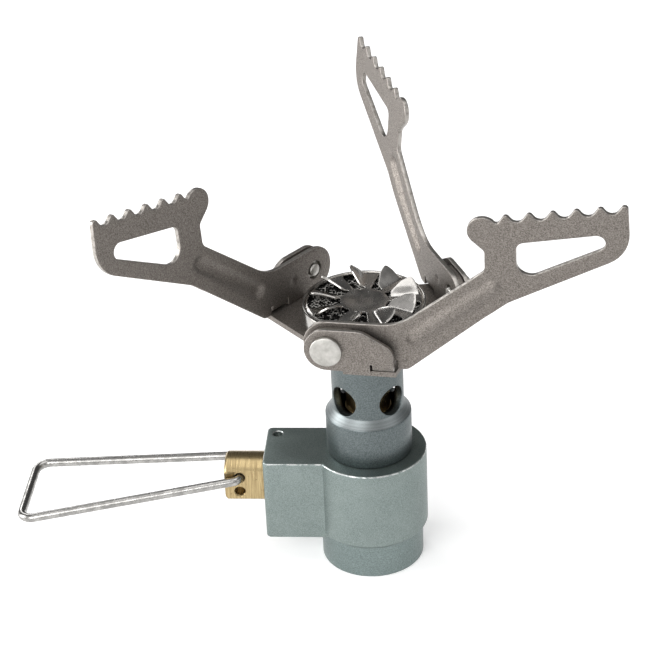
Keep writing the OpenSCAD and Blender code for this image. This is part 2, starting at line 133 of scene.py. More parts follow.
def fill(loops, step):
    """Inner points about step apart, and the triangles between all the points."""
    rim = np.vstack(loops)
    low, high = rim.min(0), rim.max(0)
    rows = []
    y, odd = low[1], 0
    while y < high[1]:
        x = np.arange(low[0] + (step / 2 if odd else 0), high[0], step)
        rows.append(np.stack([x, np.full(len(x), y)], 1))
        y += step * ROW
        odd = 1 - odd
    grid = np.vstack(rows)
    grid = grid[inside(grid, loops)]
    near = np.full(len(grid), np.inf)
    for p in rim:
        near = np.minimum(near, ((grid - p) ** 2).sum(1))
    grid = grid[near > (CLEAR * step) ** 2]
    points = np.vstack([rim, grid])
    edges, n = [], 0
    for loop in loops:
        m = len(loop)
        edges += [(n + k, n + (k + 1) % m) for k in range(m)]
        n += m
    out = geometry.delaunay_2d_cdt([Vector(p) for p in points.tolist()], edges, [], 0, 1e-7)
    source = [ids[0] if ids else -1 for ids in out[3]]
    triangles = np.array([[source[v] for v in f] for f in out[2]])
    triangles = triangles[(triangles >= 0).all(1)]
    middle = points[triangles].mean(1)
    triangles = triangles[inside(middle, loops)]
    p, q, r = (points[triangles[:, k]] for k in range(3))
    flip = (q[:, 0] - p[:, 0]) * (r[:, 1] - p[:, 1]) < (q[:, 1] - p[:, 1]) * (r[:, 0] - p[:, 0])
    triangles[flip] = triangles[flip][:, ::-1]
    return grid, triangles


# ---------------------------------------------------------------- meshes

def piece(name, body, material, slot, vertices, faces, node=None, rim=None, sharp=None, weighted=False):
    """An object from points in millimetres. rim says how much each point belongs to a cut edge."""
    mesh = bpy.data.meshes.new(name)
    mesh.from_pydata((np.asarray(vertices, float) * MM).tolist(), [], [list(map(int, f)) for f in faces])
    mesh.update()
    mesh.polygons.foreach_set("use_smooth", [True] * len(mesh.polygons))
    if rim is not None:
        mesh.attributes.new("rim", "FLOAT", "POINT").data.foreach_set("value", np.asarray(rim, np.float32))
    obj = bpy.data.objects.new(name, mesh)
    bpy.context.scene.collection.objects.link(obj)
    finish_piece(obj, body, material, node)
    if sharp:
        mesh.set_sharp_from_angle(angle=math.radians(sharp))
    if weighted:
        obj.modifiers.new("weighted", "WEIGHTED_NORMAL").keep_sharp = True
    return obj


def finish_piece(obj, body, material, node=None):
    """Gives a piece its material and body, and hides the CAD node that it stands for."""
    obj.data.materials.clear()
    obj.data.materials.append(material)
    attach(obj, body)
    if node:
        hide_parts(*([node] if isinstance(node, str) else node))


def edge_steps(t, e, steps=3):
    """(inset, height) through a sheet's thickness, with both edges rounded."""
    turn = [math.pi / 2 * k / steps for k in range(steps + 1)]
    low = [(e * (1 - math.sin(a)), e * (1 - math.cos(a))) for a in turn]
    return low + [(d, t - w) for d, w in reversed(low)]


def plate(loops, t, e, step, place):
    """A sheet with an outline and holes. place(points, heights) gives its points in space."""
    loops = [loops[0] if area(loops[0]) > 0 else loops[0][::-1]] + \
            [loop if area(loop) < 0 else loop[::-1] for loop in loops[1:]]
    profile = edge_steps(t, e)
    flat = [inset(loop, e) for loop in loops]
    grid, triangles = fill(flat, step)
    count = sum(len(loop) for loop in loops)
    points, heights, rim, faces = [], [], [], []
    for d, w in profile:
        points.append(np.vstack([inset(loop, d) for loop in loops]))
        heights.append(np.full(count, w))
        rim.append(np.full(count, 1 - d / e))
    for k in range(len(profile) - 1):
        n = 0
        for loop in loops:
            m = len(loop)
            for i in range(m):
                a, b = n + i, n + (i + 1) % m
                faces.append((k * count + a, k * count + b, (k + 1) * count + b, (k + 1) * count + a))
            n += m
    base = len(profile) * count
    top = (len(profile) - 1) * count
    for w, first, start, turn in ((0.0, 0, base, True), (t, top, base + len(grid), False)):
        points.append(grid)
        heights.append(np.full(len(grid), w))
        rim.append(np.zeros(len(grid)))
        ids = np.where(triangles < count, triangles + first, triangles - count + start)
        faces += [tuple(f[::-1]) if turn else tuple(f) for f in ids]
    return place(np.vstack(points), np.concatenate(heights)), faces, np.concatenate(rim)


def lathe(profile, count=128):
    """A closed outline of (radius, height) turned about Z. Points on the axis become one."""
    points, faces, rings = [], [], []
    for r, z in profile:
        if r < 1e-6:
            rings.append([len(points)] * count)
            points.append((0, 0, z))
        else:
            rings.append(list(range(len(points), len(points) + count)))
            points += [(r * math.cos(2 * math.pi * k / count), r * math.sin(2 * math.pi * k / count), z)
                       for k in range(count)]
    for a, b in zip(rings, rings[1:] + rings[:1]):
        for k in range(count):
            ids = [a[k], a[(k + 1) % count], b[(k + 1) % count], b[k]]
            ids = [v for i, v in enumerate(ids) if v != ids[i - 1]]
            if len(set(ids)) > 2:
                faces.append(tuple(dict.fromkeys(ids)))
    return np.array(points, float), faces


def sweep(path, r, sides=24):
    """A round wire along a path of points, with flat ends."""
    path = np.asarray(path, float)
    tangent = np.gradient(path, axis=0)
    tangent /= np.linalg.norm(tangent, axis=1)[:, None]
    side = np.cross(tangent[0], [0.3, 0.2, 1.0])       # any direction that the path doesn't start along
    side /= np.linalg.norm(side)
    points, faces = [], []
    for p, t in zip(path, tangent):
        side = side - t * (side @ t)
        side /= np.linalg.norm(side)
        up = np.cross(t, side)
        for k in range(sides):
            a = 2 * math.pi * k / sides
            points.append(p + r * (math.cos(a) * side + math.sin(a) * up))
    for i in range(len(path) - 1):
        for k in range(sides):
            a, b = i * sides + k, i * sides + (k + 1) % sides
            faces.append((a, b, b + sides, a + sides))
    faces.append(tuple(range(sides))[::-1])
    faces.append(tuple(range((len(path) - 1) * sides, len(path) * sides)))
    return np.array(points), faces


def turned(points, degrees):
    """The points turned about Z."""
    c, s = math.cos(math.radians(degrees)), math.sin(math.radians(degrees))
    x, y, z = points[:, 0], points[:, 1], points[:, 2]
    return np.stack([x * c - y * s, x * s + y * c, z], 1)


def smooth_step(x):
    """0 to 1, eased at both ends."""
    x = np.clip(x, 0, 1)
    return x * x * (3 - 2 * x)


# ---------------------------------------------------------------- materials

class Shader:
    """A Principled material built node by node, in object coordinates in metres."""

    def __init__(self, name):
        self.material = bpy.data.materials.new(name)
        self.material.use_nodes = True
        self.tree = self.material.node_tree
        self.bsdf = self.tree.nodes["Principled BSDF"]
        self.coords = self.tree.nodes.new("ShaderNodeTexCoord")
        self.height = None

    def node(self, kind, **settings):
        n = self.tree.nodes.new(kind)
        for key, value in settings.items():
            setattr(n, key, value)
        return n

    def link(self, a, b):
        self.tree.links.new(a, b)

    def noise(self, scale, detail=2.0, rough=0.5, stretch=(1, 1, 1)):
        """Noise with features about 1 / scale metres across."""
        m = self.node("ShaderNodeMapping")
        m.inputs["Scale"].default_value = stretch
        self.link(self.coords.outputs["Object"], m.inputs["Vector"])
        n = self.node("ShaderNodeTexNoise")
        n.inputs["Scale"].default_value = scale
        n.inputs["Detail"].default_value = detail
        n.inputs["Roughness"].default_value = rough
        self.link(m.outputs["Vector"], n.inputs["Vector"])
        return n.outputs["Fac"]

    def part(self, axis, of="Object"):
        """One coordinate of the place, or of the normal."""
        s = self.node("ShaderNodeSeparateXYZ")
        self.link(self.coords.outputs[of], s.inputs[0])
        return s.outputs[axis]

    def math(self, operation, a, b=0.0):
        n = self.node("ShaderNodeMath", operation=operation)
        for socket, value in zip(n.inputs, (a, b)):
            if isinstance(value, (int, float)):
                socket.default_value = value
            else:
                self.link(value, socket)
        return n.outputs[0]

    def span(self, value, low, high, to_low=0.0, to_high=1.0):
        """value from low..high to to_low..to_high, eased and clamped."""
        n = self.node("ShaderNodeMapRange", interpolation_type="SMOOTHSTEP")
        for name, v in (("From Min", low), ("From Max", high), ("To Min", to_low), ("To Max", to_high)):
            n.inputs[name].default_value = v
        self.link(value, n.inputs["Value"])
        return n.outputs[0]

    def mix(self, factor, a, b):
        """Colour a where factor is 0, colour b where it is 1."""
        n = self.node("ShaderNodeMix", data_type="RGBA")
        self.link(factor, n.inputs[0])
        for socket, value in ((n.inputs[6], a), (n.inputs[7], b)):
            if isinstance(value, tuple):
                socket.default_value = (*value, 1.0)
            else:
                self.link(value, socket)
        return n.outputs[2]

    def rim(self):
        """How much a point belongs to a cut edge, 0 to 1."""
        n = self.node("ShaderNodeAttribute", attribute_name="rim", attribute_type="GEOMETRY")
        return n.outputs["Fac"]

    def bump(self, value, distance, strength=1.0):
        n = self.node("ShaderNodeBump")
        n.inputs["Distance"].default_value = distance
        n.inputs["Strength"].default_value = strength
        self.link(value, n.inputs["Height"])
        if self.height is not None:
            self.link(self.height, n.inputs["Normal"])
        self.height = n.outputs["Normal"]

    def done(self, color, roughness, metallic=1.0):
        for name, value in (("Base Color", color), ("Roughness", roughness), ("Metallic", metallic)):
            if isinstance(value, (int, float)):
                self.bsdf.inputs[name].default_value = value
            else:
                self.link(value, self.bsdf.inputs[name])
        if self.height is not None:
            self.link(self.height, self.bsdf.inputs["Normal"])
        return self.material


def titanium():
    """Blasted titanium sheet: warm grey with a fine grain, lighter where it was cut."""
    dark, light = (0.125, 0.112, 0.10), (0.275, 0.25, 0.228)
    stain, cut = (0.215, 0.196, 0.18), (0.46, 0.435, 0.405)
    s = Shader("titanium_blasted")
    grain = s.noise(5200, 2.0, 0.6)
    blotch = s.noise(260, 3.0, 0.55)
    color = s.mix(s.span(grain, 0.3, 0.72), dark, light)
    color = s.mix(s.span(blotch, 0.3, 0.75, 0.0, 0.3), color, stain)
    worn = s.math("MULTIPLY", s.span(s.rim(), 0.25, 0.95), s.span(s.noise(1500, 2.0), 0.25, 0.6, 0.25, 0.9))
    color = s.mix(worn, color, cut)
    rough = s.math("SUBTRACT", s.span(grain, 0.25, 0.75, 0.62, 0.46), s.math("MULTIPLY", worn, 0.2))
    s.bump(blotch, 0.00004, 0.5)
    s.bump(grain, 0.00003, 0.55)
    return s.done(color, rough)


def anodised(name, dark, light, wear):
    """Blasted and anodised aluminium. The top edge, from wear[0] to wear[1] up, has worn to a bright line."""
    bare = (0.66, 0.68, 0.67)
    s = Shader(name)
    grain = s.noise(7200, 2.0, 0.6)
    cloud = s.noise(230, 3.0, 0.5)
    color = s.mix(s.span(grain, 0.28, 0.74), dark, light)
    color = s.mix(s.span(cloud, 0.3, 0.8, 0.0, 0.35), color, light)
    z, up = s.part("Z"), s.part("Z", "Normal")
    edge = s.math("MULTIPLY", s.span(z, wear[0], wear[1]), s.span(up, 0.12, 0.4))
    edge = s.math("MULTIPLY", edge, s.span(up, 0.93, 0.75))
    edge = s.math("MULTIPLY", edge, s.span(s.noise(900, 4.0, 0.7), 0.38, 0.56))
    color = s.mix(edge, color, bare)
    rough = s.math("SUBTRACT", s.span(grain, 0.25, 0.75, 0.56, 0.42), s.math("MULTIPLY", edge, 0.2))
    s.bump(cloud, 0.00003, 0.4)
    s.bump(grain, 0.000022, 0.5)
    return s.done(color, rough)


def turned_metal(name, dark, light, bright_band=None, bore=None):
    """Turned and anodised aluminium: fine tool marks round the axis.

    bright_band is the cone's lowest and highest point, and bore the radius inside which painted shade makes
    it nearly black.
    """
    cone, bore_shade, blend = (0.31, 0.335, 0.34), (0.02, 0.02, 0.02), 0.0001
    s = Shader(name)
    rings = s.noise(650, 3.0, 0.7, stretch=(0.05, 0.05, 10.0))
    speck = s.noise(5200, 2.0, 0.6)
    color = s.mix(s.span(speck, 0.3, 0.72), dark, light)
    color = s.mix(s.span(rings, 0.3, 0.7, 0.0, 0.22), color, light)
    rough = s.span(rings, 0.2, 0.8, 0.5, 0.36)
    if bright_band:
        z = s.part("Z")
        low, high = bright_band
        band = s.math("MULTIPLY", s.span(z, low, low + blend), s.span(z, high, high - blend))
        band = s.math("MULTIPLY", band, s.span(rings, 0.3, 0.65, 0.45, 0.8))
        color = s.mix(band, color, cone)
    # painted shade: inside the bore the tube is painted near black, standing in for the shade in its hollow
    if bore:
        square = s.math("ADD", s.math("POWER", s.part("X"), 2.0), s.math("POWER", s.part("Y"), 2.0))
        away = s.math("SQRT", square)
        color = s.mix(s.span(away, bore + 6 * blend, bore + blend), color, bore_shade)
    s.bump(rings, 0.000006, 0.5)
    s.bump(speck, 0.000015, 0.4)
    return s.done(color, rough)


def polished(name, dark=(0.40, 0.385, 0.365), light=(0.56, 0.545, 0.52), rough=(0.13, 0.24)):
    """Polished stainless steel with faint drawing marks and a little heat haze."""
    s = Shader(name)
    haze = s.noise(380, 3.0, 0.6)
    lines = s.noise(2600, 2.0, 0.6, stretch=(1, 0.25, 1))
    color = s.mix(s.span(haze, 0.3, 0.75), dark, light)
    uneven = s.math("ADD", s.span(haze, 0.25, 0.8, rough[0], rough[1]), s.span(lines, 0.4, 0.8, 0.0, 0.05))
    s.bump(haze, 0.00005, 0.35)
    s.bump(lines, 0.000008, 0.4)
    return s.done(color, uneven)


def satin(name, dark, light, rough, grain=3200):
    """Satin steel: fine grain and small marks."""
    s = Shader(name)
    fine = s.noise(grain, 2.0, 0.6)
    marks = s.noise(700, 3.0, 0.65)
    color = s.mix(s.span(marks, 0.3, 0.75), dark, light)
    color = s.mix(s.span(fine, 0.4, 0.8, 0.0, 0.3), color, light)
    s.bump(fine, 0.000015, 0.4)
    return s.done(color, s.span(marks, 0.25, 0.8, rough[1], rough[0]))


def brass():
    """Machined brass with fine lines across the stem and a few dark pits."""
    dark, light, pit = (0.30, 0.222, 0.112), (0.53, 0.415, 0.225), (0.16, 0.11, 0.06)
    s = Shader("brass_machined")
    lines = s.noise(1500, 3.0, 0.7, stretch=(5.0, 0.15, 0.15))
    pits = s.noise(1400, 2.0, 0.5)
    color = s.mix(s.span(lines, 0.25, 0.75), dark, light)
    color = s.mix(s.span(pits, 0.68, 0.76, 0.0, 0.7), color, pit)
    s.bump(lines, 0.00001, 0.5)
    return s.done(color, s.span(lines, 0.2, 0.8, 0.38, 0.24))


def black_strip():
    """Blackened corrugated ribbon, with painted highlights in dashes along its upper edges."""
    black, bright = (0.008, 0.008, 0.007), (0.92, 0.90, 0.86)
    s = Shader("strip_black")
    spots = s.noise(1100, 2.0, 0.6)
    # painted highlight: glints painted as bright dashes along the ribbons' upper edges
    painted_glints = s.math("MULTIPLY", s.span(s.rim(), 0.9, 0.98), s.span(spots, 0.46, 0.6))
    color = s.mix(painted_glints, black, bright)
    s.bump(s.noise(3000), 0.00001, 0.5)
    return s.done(color, s.span(spots, 0.3, 0.7, 0.62, 0.48), 0.3)


def black_rubber():
    """Matt black rubber with a faint grain."""
    s = Shader("rubber_black")
    grain = s.noise(2500, 3.0)
    s.bump(grain, 0.00002, 0.4)
    color = s.mix(grain, (0.012, 0.012, 0.012), (0.03, 0.03, 0.03))
    return s.done(color, s.span(grain, 0.3, 0.7, 0.7, 0.5), 0.0)


TITANIUM = titanium()
BODY = anodised("anodised_body", (0.155, 0.19, 0.184), (0.285, 0.332, 0.318), (0.0203, 0.0206))
COLLAR = turned_metal("anodised_collar", (0.135, 0.17, 0.167), (0.25, 0.30, 0.292))
TUBE = turned_metal("anodised_tube", (0.082, 0.098, 0.100), (0.165, 0.190, 0.193), (0.0284, 0.0298), 0.0046)
POLISHED = polished("stainless_polished")
CAP = polished("stainless_cap", (0.42, 0.405, 0.385), (0.60, 0.58, 0.555), (0.16, 0.27))
RIVET = satin("rivet_satin", (0.37, 0.36, 0.335), (0.52, 0.507, 0.48), (0.36, 0.5))
WIRE = satin("wire_steel", (0.25, 0.245, 0.235), (0.44, 0.43, 0.415), (0.2, 0.34), 4200)
BRASS = brass()
STRIP = black_strip()
RUBBER = black_rubber()


# ---------------------------------------------------------------- pot supports

ARM_DEG = {"right": -7.0, "back": 113.0, "left": 233.0}
PIVOT = (-3.25, 49.0)               # along the arm's heading, and height
ARM_IN = 13.5                       # inner face of an arm, from the column's axis
SHEET = 0.8                         # thickness of the arm's sheet
EAR_OUT = 16.24                     # outer face of the ear
WEB = (7.2, 10.6)                   # the U-bend's two ends, along the arm
WEB_LOW = -3.7                      # its lowest point, from the pivot's height
BEND = (EAR_OUT - ARM_IN) / 2       # its outer radius
WEB_TOP = WEB_LOW + BEND            # where it starts
STRIP_L = 6.0                       # length given to it in the flat pattern
EAR_BELOW = -5.2                    # below this the flat pattern is ear, apart from the U-bend's strip
RELIEF = 0.35                       # width of the slots beside it
FLARE = math.radians(5)             # the lean of the arm above its root
FLARE_Z = 7.0                       # where the lean starts, above the pivot
FLARE_SOFT = 0.6                    # how gently it starts


def arm_pattern():
    """The arm's flat pattern: the main sheet above, the bend's strip, and the ear below it."""
    ear_y = 2 * WEB_TOP - STRIP_L                   # the ear is mirrored about this line
    notch, root, ear = WEB_TOP + 0.15, 4.0, 3.6
    pitch, rise, first = 3.5, 0.54, (28.0, 25.33)   # of the teeth, from the column outwards
    teeth, tooth_r, valley_r = 5, 0.5, 1.15
    valley = (0.52 * pitch, rise / 2 - 2.35)        # from a tooth to the valley beside it
    slot_r, lip_r = 0.15, 0.25
    # down one side of the strip, with its slots
    corners = [(1.52, WEB_LOW, 0), (WEB[0] - RELIEF, WEB_LOW, lip_r), (WEB[0] - RELIEF, notch, slot_r),
               (WEB[0], notch, slot_r), (WEB[0], ear_y - notch, slot_r),
               (WEB[0] - RELIEF, ear_y - notch, slot_r), (WEB[0] - RELIEF, ear_y - WEB_LOW, lip_r)]
    # round the ear, and up the strip's other side
    corners += arc((0, ear_y), ear, 90, 270)
    corners += [(5.6, ear_y - ear, 3.5), (WEB[1], ear_y - 0.6, 2.2), (WEB[1], notch, slot_r),
                (WEB[1] + RELIEF, notch, slot_r), (WEB[1] + RELIEF, WEB_LOW, lip_r)]
    # along the lower edge to the tip, and back over the teeth
    corners += [(12.6, WEB_LOW, 1.5), (28.3, 9.5, 6), (46.6, 19.35, 5.5), (46.0, 28.8, 0.55)]
    for i in range(teeth, -1, -1):
        if i < teeth:
            corners.append((first[0] + i * pitch, first[1] + i * rise, tooth_r))
        if i:
            corners.append((first[0] + (i - 1) * pitch + valley[0],
                            first[1] + (i - 1) * rise + valley[1], valley_r))
    # round the knob, and down the neck to the round root
    corners += [(26.69, 23.29, 0.5)] + arc((24.6, 22.1), 2.4, 52, 225)
    corners += [(24.8, 18.6, 1.0), (24.8, 15.0, 1.5), (11.2, root, 8)]
    corners += arc((0, 0), root, 90, 292)
    window = [(29.6, 13.36, 2.2), (29.6, 20.25, 1.3), (50.1, 23.94, 1.34)]
    rivet_r, longest = 1.6, 0.8
    return [divided(rounded(corners), longest), divided(rounded(window), longest),
            circle((0, 0), rivet_r), circle((0, ear_y), rivet_r)]


def press(u, v):
    """How far the sheet is pressed outwards: the long rib and the little detent."""
    a, b = np.array([13.8, 2.1]), np.array([26.0, 12.1])    # the rib's two ends
    d = b - a
    t = np.clip(((u - a[0]) * d[0] + (v - a[1]) * d[1]) / (d @ d), 0, 1)
    away = np.hypot(u - a[0] - t * d[0], v - a[1] - t * d[1])
    rib = 0.62 * smooth_step((1.35 - away) / 0.7)
    dent = 0.32 * smooth_step((0.72 - np.hypot(u - 5.2, v - 0.2)) / 0.6)
    return rib + dent


def bend_arm(points, w):
    """From the flat pattern to the folded sheet: along the arm, outwards from the column, up."""
    u, v = points[:, 0], points[:, 1]
    in_strip = (u > WEB[0] - 0.02) & (u < WEB[1] + 0.02) & (v < WEB_TOP) & (v > WEB_TOP - STRIP_L)
    on_ear = (v <= WEB_TOP - STRIP_L) | ((v < EAR_BELOW) & ~in_strip)
    out = ARM_IN + w + press(u, v)
    up = v.copy()
    above = (v - FLARE_Z + np.hypot(v - FLARE_Z, FLARE_SOFT)) / 2
    lean = smooth_step(v - FLARE_Z + 0.5)
    up = up - lean * (out - ARM_IN) * math.sin(FLARE) - above * (1 - math.cos(FLARE))
    out = out + above * math.sin(FLARE)
    turn = np.clip((WEB_TOP - v) / STRIP_L, 0, 1) * math.pi
    r = BEND - w
    middle = (ARM_IN + EAR_OUT) / 2
    out = np.where(in_strip, middle - r * np.cos(turn), out)
    up = np.where(in_strip, WEB_TOP - r * np.sin(turn), up)
    out = np.where(on_ear, EAR_OUT - w, out)
    up = np.where(on_ear, 2 * WEB_TOP - STRIP_L - v, up)
    return np.stack([u, out, up], 1)


def at_arm(points, degrees):
    """From (along, outwards, up) about the pivot to the part's frame."""
    along, out, up = points[:, 0] + PIVOT[0], points[:, 1], points[:, 2] + PIVOT[1]
    return turned(np.stack([along, -out, up], 1), degrees)


ARM_EDGE, ARM_STEP = 0.13, 0.62     # rounding of the sheet's edges, and size of its triangles
arm_points, arm_faces, arm_rim = plate(arm_pattern(), SHEET, ARM_EDGE, ARM_STEP, bend_arm)
for side, degrees in ARM_DEG.items():
    piece(f"support_{side}", f"arm_{side}", TITANIUM, "titanium", at_arm(arm_points, degrees), arm_faces,
          node=f"arm_{side}", rim=arm_rim, weighted=True)


# ---------------------------------------------------------------- pivot rivets

def rivet_points():
    """Head outside, shank through the hinge, and the riveted tail seen from the column's side."""
    inner, head = ARM_IN, EAR_OUT + 0.06
    outline = [(0, head + 0.82, 0), (1.9, head + 0.78, 1.2), (2.55, head + 0.6, 0.22), (2.55, head, 0.08),
               (1.55, head, 0), (1.55, inner + 0.62, 0.1), (1.12, inner + 0.6, 0), (1.12, inner - 0.12, 0.4),
               (0, inner - 0.42, 0)]
    points, faces = lathe([(r, z) for r, z in rounded(outline, 15)], 72)
    return np.stack([points[:, 0], points[:, 2], points[:, 1]], 1), [f[::-1] for f in faces]


rivet, rivet_faces = rivet_points()
for side, degrees in ARM_DEG.items():
    piece(f"rivet_{side}", "stove", RIVET, "rivet", at_arm(rivet, degrees), rivet_faces,
          node=f"pivot_rivet_{side}", sharp=50)


# ---------------------------------------------------------------- burner

BRACKET_TOP = 45.25
CAP_Z = 49.25                       # top of the cap's disc
CAP_R = 9.72
CAP_SHEET = 0.35
CUP_R = 10.2
FLAPS = 9
FLAP_DEG = 24.0                     # heading of the first flap's opening
HALF = 13.5                         # half the angle that an opening takes
FLAP_RISE = math.radians(40)
FLAP_BEND = 0.7                     # radius of the bend at a flap's root


def cap_pattern():
    """The cap's disc with a C-shaped cut round each flap, which leaves the flap joined along one side."""
    loops = [circle((0, 0), CAP_R, 180)]
    flaps = []
    far = math.radians(2 * HALF)
    for k in range(FLAPS):
        hinge = math.radians(FLAP_DEG + 360 / FLAPS * k - HALF)
        c, s = math.cos(hinge), math.sin(hinge)

        def at(u, v, r):
            return (u * c - v * s, u * s + v * c, r)

        opening = [at(4.0, 0.0, 0), at(4.0 * math.cos(far), 4.0 * math.sin(far), 0.4),
                   at(9.25 * math.cos(far), 9.25 * math.sin(far), 0.7),
                   at(9.3 * math.cos(far / 2), 9.3 * math.sin(far / 2), 3.0), at(9.3, 0.0, 0)]
        flap = [at(9.02, 0.0, 0), at(8.88, 2.1, 2.5), at(8.2, 3.65, 0.6), at(6.4, 2.95, 1.2),
                at(4.5, 1.34, 0.45), at(4.28, 0.0, 0)]
        loops.append(divided(rounded(opening + flap, 15), 0.35))
        round_flap = [at(9.1, -0.2, 0), at(8.97, 2.15, 0), at(8.3, 3.78, 0), at(6.35, 3.07, 0),
                      at(4.4, 1.45, 0), at(4.2, -0.2, 0)]
        flaps.append((c, s, rounded(round_flap)))
    return loops, flaps


cap_loops, flap_areas = cap_pattern()


def bend_cap(points, w):
    """The cap: a dished middle, a turned-down rim, and each flap bent up and slightly hollow."""
    x, y = points[:, 0].copy(), points[:, 1].copy()
    r = np.hypot(x, y)
    dish = 0.22 * smooth_step((4.4 - r) / 3.4)
    rim = 0.25 * smooth_step((r - 9.1) / 0.6) ** 2
    z = CAP_Z - CAP_SHEET + w - dish - rim
    base_z = z.copy()
    rise, bend_r = FLAP_RISE, FLAP_BEND
    for c, s, outline in flap_areas:
        u, v = x * c + y * s, -x * s + y * c
        on = inside(np.stack([x, y], 1), [outline]) & (v > 0)
        a = np.minimum(v / bend_r, rise)
        past = np.maximum(v - bend_r * rise, 0)
        hollow = 0.16 * (1 - ((u - 6.7) / 2.6) ** 2) * smooth_step(past / 1.6)
        lift = w - CAP_SHEET / 2 + hollow
        across = bend_r * np.sin(a) + past * math.cos(rise) - lift * np.sin(a)
        up = bend_r * (1 - np.cos(a)) + past * math.sin(rise) + lift * np.cos(a)
        px, py = u * c - across * s, u * s + across * c
        x, y = np.where(on, px, x), np.where(on, py, y)
        z = np.where(on, base_z - w + CAP_SHEET / 2 + up, z)
    return np.stack([x, y, z], 1)


cap_points, cap_faces, cap_rim = plate(cap_loops, CAP_SHEET, 0.07, 0.36, bend_cap)
piece("burner_cap_disc", "stove", CAP, "polished_stainless", cap_points, cap_faces,
      node="burner_cap", rim=cap_rim, weighted=True)

CUP_HOLE = 4.55                     # radius of the hole in the cup's bottom
cup = [(CUP_HOLE, BRACKET_TOP + 0.02, 0), (CUP_R - 0.55, BRACKET_TOP + 0.02, 0.5),
       (CUP_R, BRACKET_TOP + 0.7, 0.6), (CUP_R, CAP_Z - 0.02, 0.2), (CUP_R - 0.48, CAP_Z - 0.02, 0.12),
       (CUP_R - 0.52, BRACKET_TOP + 0.9, 0.3), (CUP_R - 1.0, BRACKET_TOP + 0.47, 0.2),
       (CUP_HOLE, BRACKET_TOP + 0.47, 0)]
cup_points, cup_faces = lathe(rounded(cup, 12), 160)
piece("burner_cup_shell", "stove", POLISHED, "polished_stainless", cup_points, cup_faces,
      node="burner_cup", sharp=50)


def ribbon(r, waves, swing, low, high, t=0.11):
    """One corrugated ribbon of the burner's strip, t thick, with eight points to a wave."""
    count = waves * 8
    a = np.arange(count) * 2 * math.pi / count
    wave = swing * np.sin(a * waves)
    points, faces, rim = [], [], []
    for d, z, top in ((-t, low, 0), (-t, high, 1), (t, high, 1), (t, low, 0)):
        rr = r + wave + d / 2
        points.append(np.stack([rr * np.cos(a), rr * np.sin(a), np.full(count, z)], 1))
        rim += [top] * count
    for j in range(4):
        for k in range(count):
            n = (k + 1) % count
            after = (j + 1) % 4
            faces.append((j * count + k, j * count + n, after * count + n, after * count + k))
    return np.vstack(points), faces, rim


RIBBONS = 9
RIBBON_R, RIBBON_GAP = 4.35, 0.62   # radius of the inmost ribbon, and from one to the next
WAVE, SWING = 0.95, 0.24            # length and half height of the corrugation
STRIP_TOP, STRIP_DEEP = CAP_Z - 0.6, 1.5
RIBBON_TURN = 17.0                  # degrees from one ribbon to the next, so that the waves don't line up
strip_points, strip_faces, strip_rim = [], [], []
for index in range(RIBBONS):
    radius = RIBBON_R + RIBBON_GAP * index
    waves = round(radius * 2 * math.pi / WAVE)
    ring_points, ring_faces, ring_rim = ribbon(radius, waves, SWING, STRIP_TOP - STRIP_DEEP, STRIP_TOP)
    base = sum(len(p) for p in strip_points)
    strip_points.append(turned(ring_points, RIBBON_TURN * index))
    strip_faces += [tuple(v + base for v in f) for f in ring_faces]
    strip_rim += ring_rim
piece("burner_strip", "stove", STRIP, "flame_strip", np.vstack(strip_points), strip_faces, node="flame_strip",
      rim=strip_rim, sharp=40)


# ---------------------------------------------------------------- mixing tube

HOLE_Z = 32.45                      # height of the air holes' centres
HOLE_R = 2.6
HOLE_DEG = 48.0                     # heading of the first air hole
TUBE_R, BORE_R = 6.0, 4.6
BAND = (29.8, 36.2)                 # the stretch of the tube with the air holes


